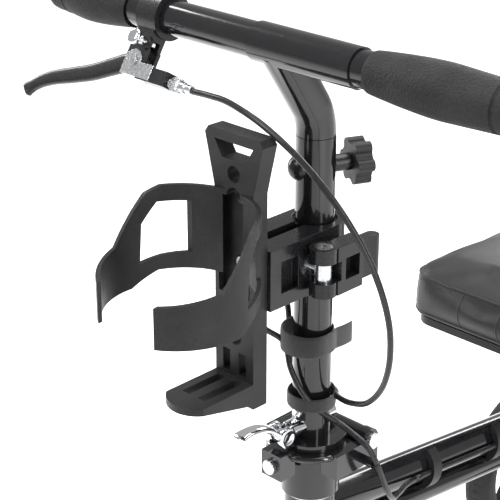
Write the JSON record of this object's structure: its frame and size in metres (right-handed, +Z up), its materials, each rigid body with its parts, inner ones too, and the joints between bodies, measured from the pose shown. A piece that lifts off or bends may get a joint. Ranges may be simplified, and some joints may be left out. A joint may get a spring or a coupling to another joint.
{
  "type": "knee scooter",
  "caption": "Black folding knee scooter with a padded knee rest, steerable front wheels, telescopic handlebar, hand brake and a quick-release bottle cage.",
  "frame": {"origin": "on the floor, below the middle of the bounding box", "axes": "+Z up, -Y forwards, +X to the rider's left"},
  "size_m": [0.498, 0.8794, 0.8131],
  "materials": {
    "gloss_black_paint": "gloss",
    "black_plastic": "satin",
    "black_metal": "satin",
    "rubber": "matte",
    "strap": "woven",
    "cable_sheath": "satin",
    "tyre": "matte",
    "vinyl": "satin",
    "chrome": "polished",
    "silver": "satin"
  },
  "bodies": {
    "frame": {"main_frame": "gloss_black_paint", "head_bearings": "silver", "rear_axle": "silver", "brake_backplate": "silver", "brake_shoes": "black_metal", "cable_frame": "cable_sheath", "cable_clips": "black_plastic", "cable_steer": "cable_sheath"},
    "steering_head": {"steerer": "gloss_black_paint", "pitman_arm": "gloss_black_paint", "fold_bolt": "silver", "cable_fold": "cable_sheath"},
    "column": {"column_tube": "gloss_black_paint", "column_foot": "gloss_black_paint", "fold_skewer": "chrome", "lower_strap": "strap", "upper_strap": "strap", "cage_clamp": "black_plastic", "clamp_liner": "rubber", "clamp_bolt": "silver", "bottle_cage": "black_plastic", "cage_screw": "silver", "stem_bolt": "black_metal", "cable_column": "cable_sheath", "cable_loop": "cable_sheath"},
    "fold_lever_body": {"fold_lever": "chrome"},
    "snap_button_body": {"snap_button": "chrome"},
    "clamp_lever_body": {"clamp_lever": "black_plastic"},
    "star_knob_body": {"star_knob": "black_plastic"},
    "stem_body": {"stem": "gloss_black_paint", "handlebar": "gloss_black_paint", "grip_left": "rubber", "grip_right": "rubber", "brake_perch": "black_metal", "lever_pivot": "silver", "cable_adjuster": "silver"},
    "brake_lever_body": {"brake_lever": "black_metal"},
    "park_button_body": {"park_button": "chrome"},
    "seat": {"seat_post": "gloss_black_paint", "pad_board": "black_plastic", "knee_pad": "vinyl"},
    "seat_knob_body": {"seat_knob": "black_plastic"},
    "knuckle_left_body": {"knuckle_left": "gloss_black_paint", "knuckle_nuts_left": "silver"},
    "knuckle_right_body": {"knuckle_right": "gloss_black_paint", "knuckle_nuts_right": "silver"},
    "tie_rod_left_body": {"tie_rod_left": "gloss_black_paint"},
    "tie_rod_right_body": {"tie_rod_right": "gloss_black_paint"},
    "wheel_front_left": {"rim_front_left": "black_plastic", "tyre_front_left": "tyre"},
    "wheel_front_right": {"rim_front_right": "black_plastic", "tyre_front_right": "tyre"},
    "wheel_rear_left": {"rim_rear_left": "black_plastic", "tyre_rear_left": "tyre", "brake_drum": "silver"},
    "wheel_rear_right": {"rim_rear_right": "black_plastic", "tyre_rear_right": "tyre"},
    "brake_arm_body": {"brake_arm": "silver"}
  },
  "joints": [
    {"name": "steer", "type": "hinge", "parent": "frame", "child": "steering_head", "pos_m": [0, -0.24029, 0.4], "axis": [0, 0, 1], "range_deg": [-40, 40], "deforming": ["cable_steer"]},
    {"name": "fold", "type": "hinge", "parent": "steering_head", "child": "column", "pos_m": [0, -0.21029, 0.446], "axis": [-1, 0, 0], "range_deg": [0, 58], "deforming": ["cable_fold"]},
    {"name": "stem_height", "type": "slide", "parent": "column", "child": "stem_body", "axis": [0, 0, 1], "range_m": [0, 0.15], "deforming": ["cable_loop"]},
    {"name": "fold_lever_turn", "type": "hinge", "parent": "column", "child": "fold_lever_body", "pos_m": [0, -0.27729, 0.462], "axis": [-1, 0, 0], "range_deg": [0, 75]},
    {"name": "snap_button_press", "type": "slide", "parent": "column", "child": "snap_button_body", "axis": [0, 1, 0], "range_m": [0, 0.004], "stiffness_N_per_m": 900, "springref_m": -0.002},
    {"name": "clamp_lever_turn", "type": "hinge", "parent": "column", "child": "clamp_lever_body", "pos_m": [0.0368, -0.27029, 0.62], "axis": [0, 0, -1], "range_deg": [0, 110]},
    {"name": "star_knob_turn", "type": "hinge", "parent": "column", "child": "star_knob_body", "pos_m": [0.01517, -0.20775, 0.688], "axis": [0.4226, 0.9063, 0], "range_deg": [0, 360]},
    {"name": "brake_lever_squeeze", "type": "hinge", "parent": "stem_body", "child": "brake_lever_body", "pos_m": [-0.125, -0.31529, 0.76281], "axis": [0, 0.848, -0.5299], "range_deg": [0, 26], "stiffness_Nm_per_rad": 1.2, "springref_deg": -20.05},
    {"name": "park_button_press", "type": "slide", "parent": "stem_body", "child": "park_button_body", "axis": [0, 0.848, -0.5299], "range_m": [0, 0.004], "stiffness_N_per_m": 900, "springref_m": -0.002},
    {"name": "pad_height", "type": "slide", "parent": "frame", "child": "seat", "axis": [0, 0, 1], "range_m": [-0.04, 0.03]},
    {"name": "seat_knob_turn", "type": "hinge", "parent": "frame", "child": "seat_knob_body", "pos_m": [0.035, 0.16371, 0.37], "axis": [1, 0, 0], "range_deg": [0, 360]},
    {"name": "knuckle_left_turn", "type": "hinge", "parent": "frame", "child": "knuckle_left_body", "pos_m": [0.125, -0.24029, 0.137], "axis": [0, 0, 1], "range_deg": [-40, 40]},
    {"name": "knuckle_right_turn", "type": "hinge", "parent": "frame", "child": "knuckle_right_body", "pos_m": [-0.125, -0.24029, 0.137], "axis": [0, 0, 1], "range_deg": [-40, 40]},
    {"name": "tie_rod_left_swing", "type": "hinge", "parent": "steering_head", "child": "tie_rod_left_body", "pos_m": [0, -0.18829, 0.1], "axis": [0, 0, 1], "range_deg": [-40, 40]},
    {"name": "tie_rod_right_swing", "type": "hinge", "parent": "steering_head", "child": "tie_rod_right_body", "pos_m": [0, -0.18829, 0.105], "axis": [0, 0, 1], "range_deg": [-40, 40]},
    {"name": "wheel_front_left_spin", "type": "hinge", "parent": "knuckle_left_body", "child": "wheel_front_left", "pos_m": [0.17, -0.24029, 0.1], "axis": [1, 0, 0], "continuous": true},
    {"name": "wheel_front_right_spin", "type": "hinge", "parent": "knuckle_right_body", "child": "wheel_front_right", "pos_m": [-0.17, -0.24029, 0.1], "axis": [1, 0, 0], "continuous": true},
    {"name": "wheel_rear_left_spin", "type": "hinge", "parent": "frame", "child": "wheel_rear_left", "pos_m": [0.17, 0.33971, 0.1], "axis": [1, 0, 0], "continuous": true},
    {"name": "wheel_rear_right_spin", "type": "hinge", "parent": "frame", "child": "wheel_rear_right", "pos_m": [-0.17, 0.33971, 0.1], "axis": [1, 0, 0], "continuous": true},
    {"name": "brake_arm_turn", "type": "hinge", "parent": "frame", "child": "brake_arm_body", "pos_m": [0.13, 0.36371, 0.1], "axis": [1, 0, 0], "range_deg": [0, 16]}
  ],
  "couplings": [
    {"joint": "knuckle_left_turn", "follows": "steer", "ratio": 1},
    {"joint": "knuckle_right_turn", "follows": "steer", "ratio": 1},
    {"joint": "tie_rod_left_swing", "follows": "steer", "ratio": -1},
    {"joint": "tie_rod_right_swing", "follows": "steer", "ratio": -1},
    {"joint": "brake_arm_turn", "follows": "brake_lever_squeeze", "ratio": 0.6}
  ]
}
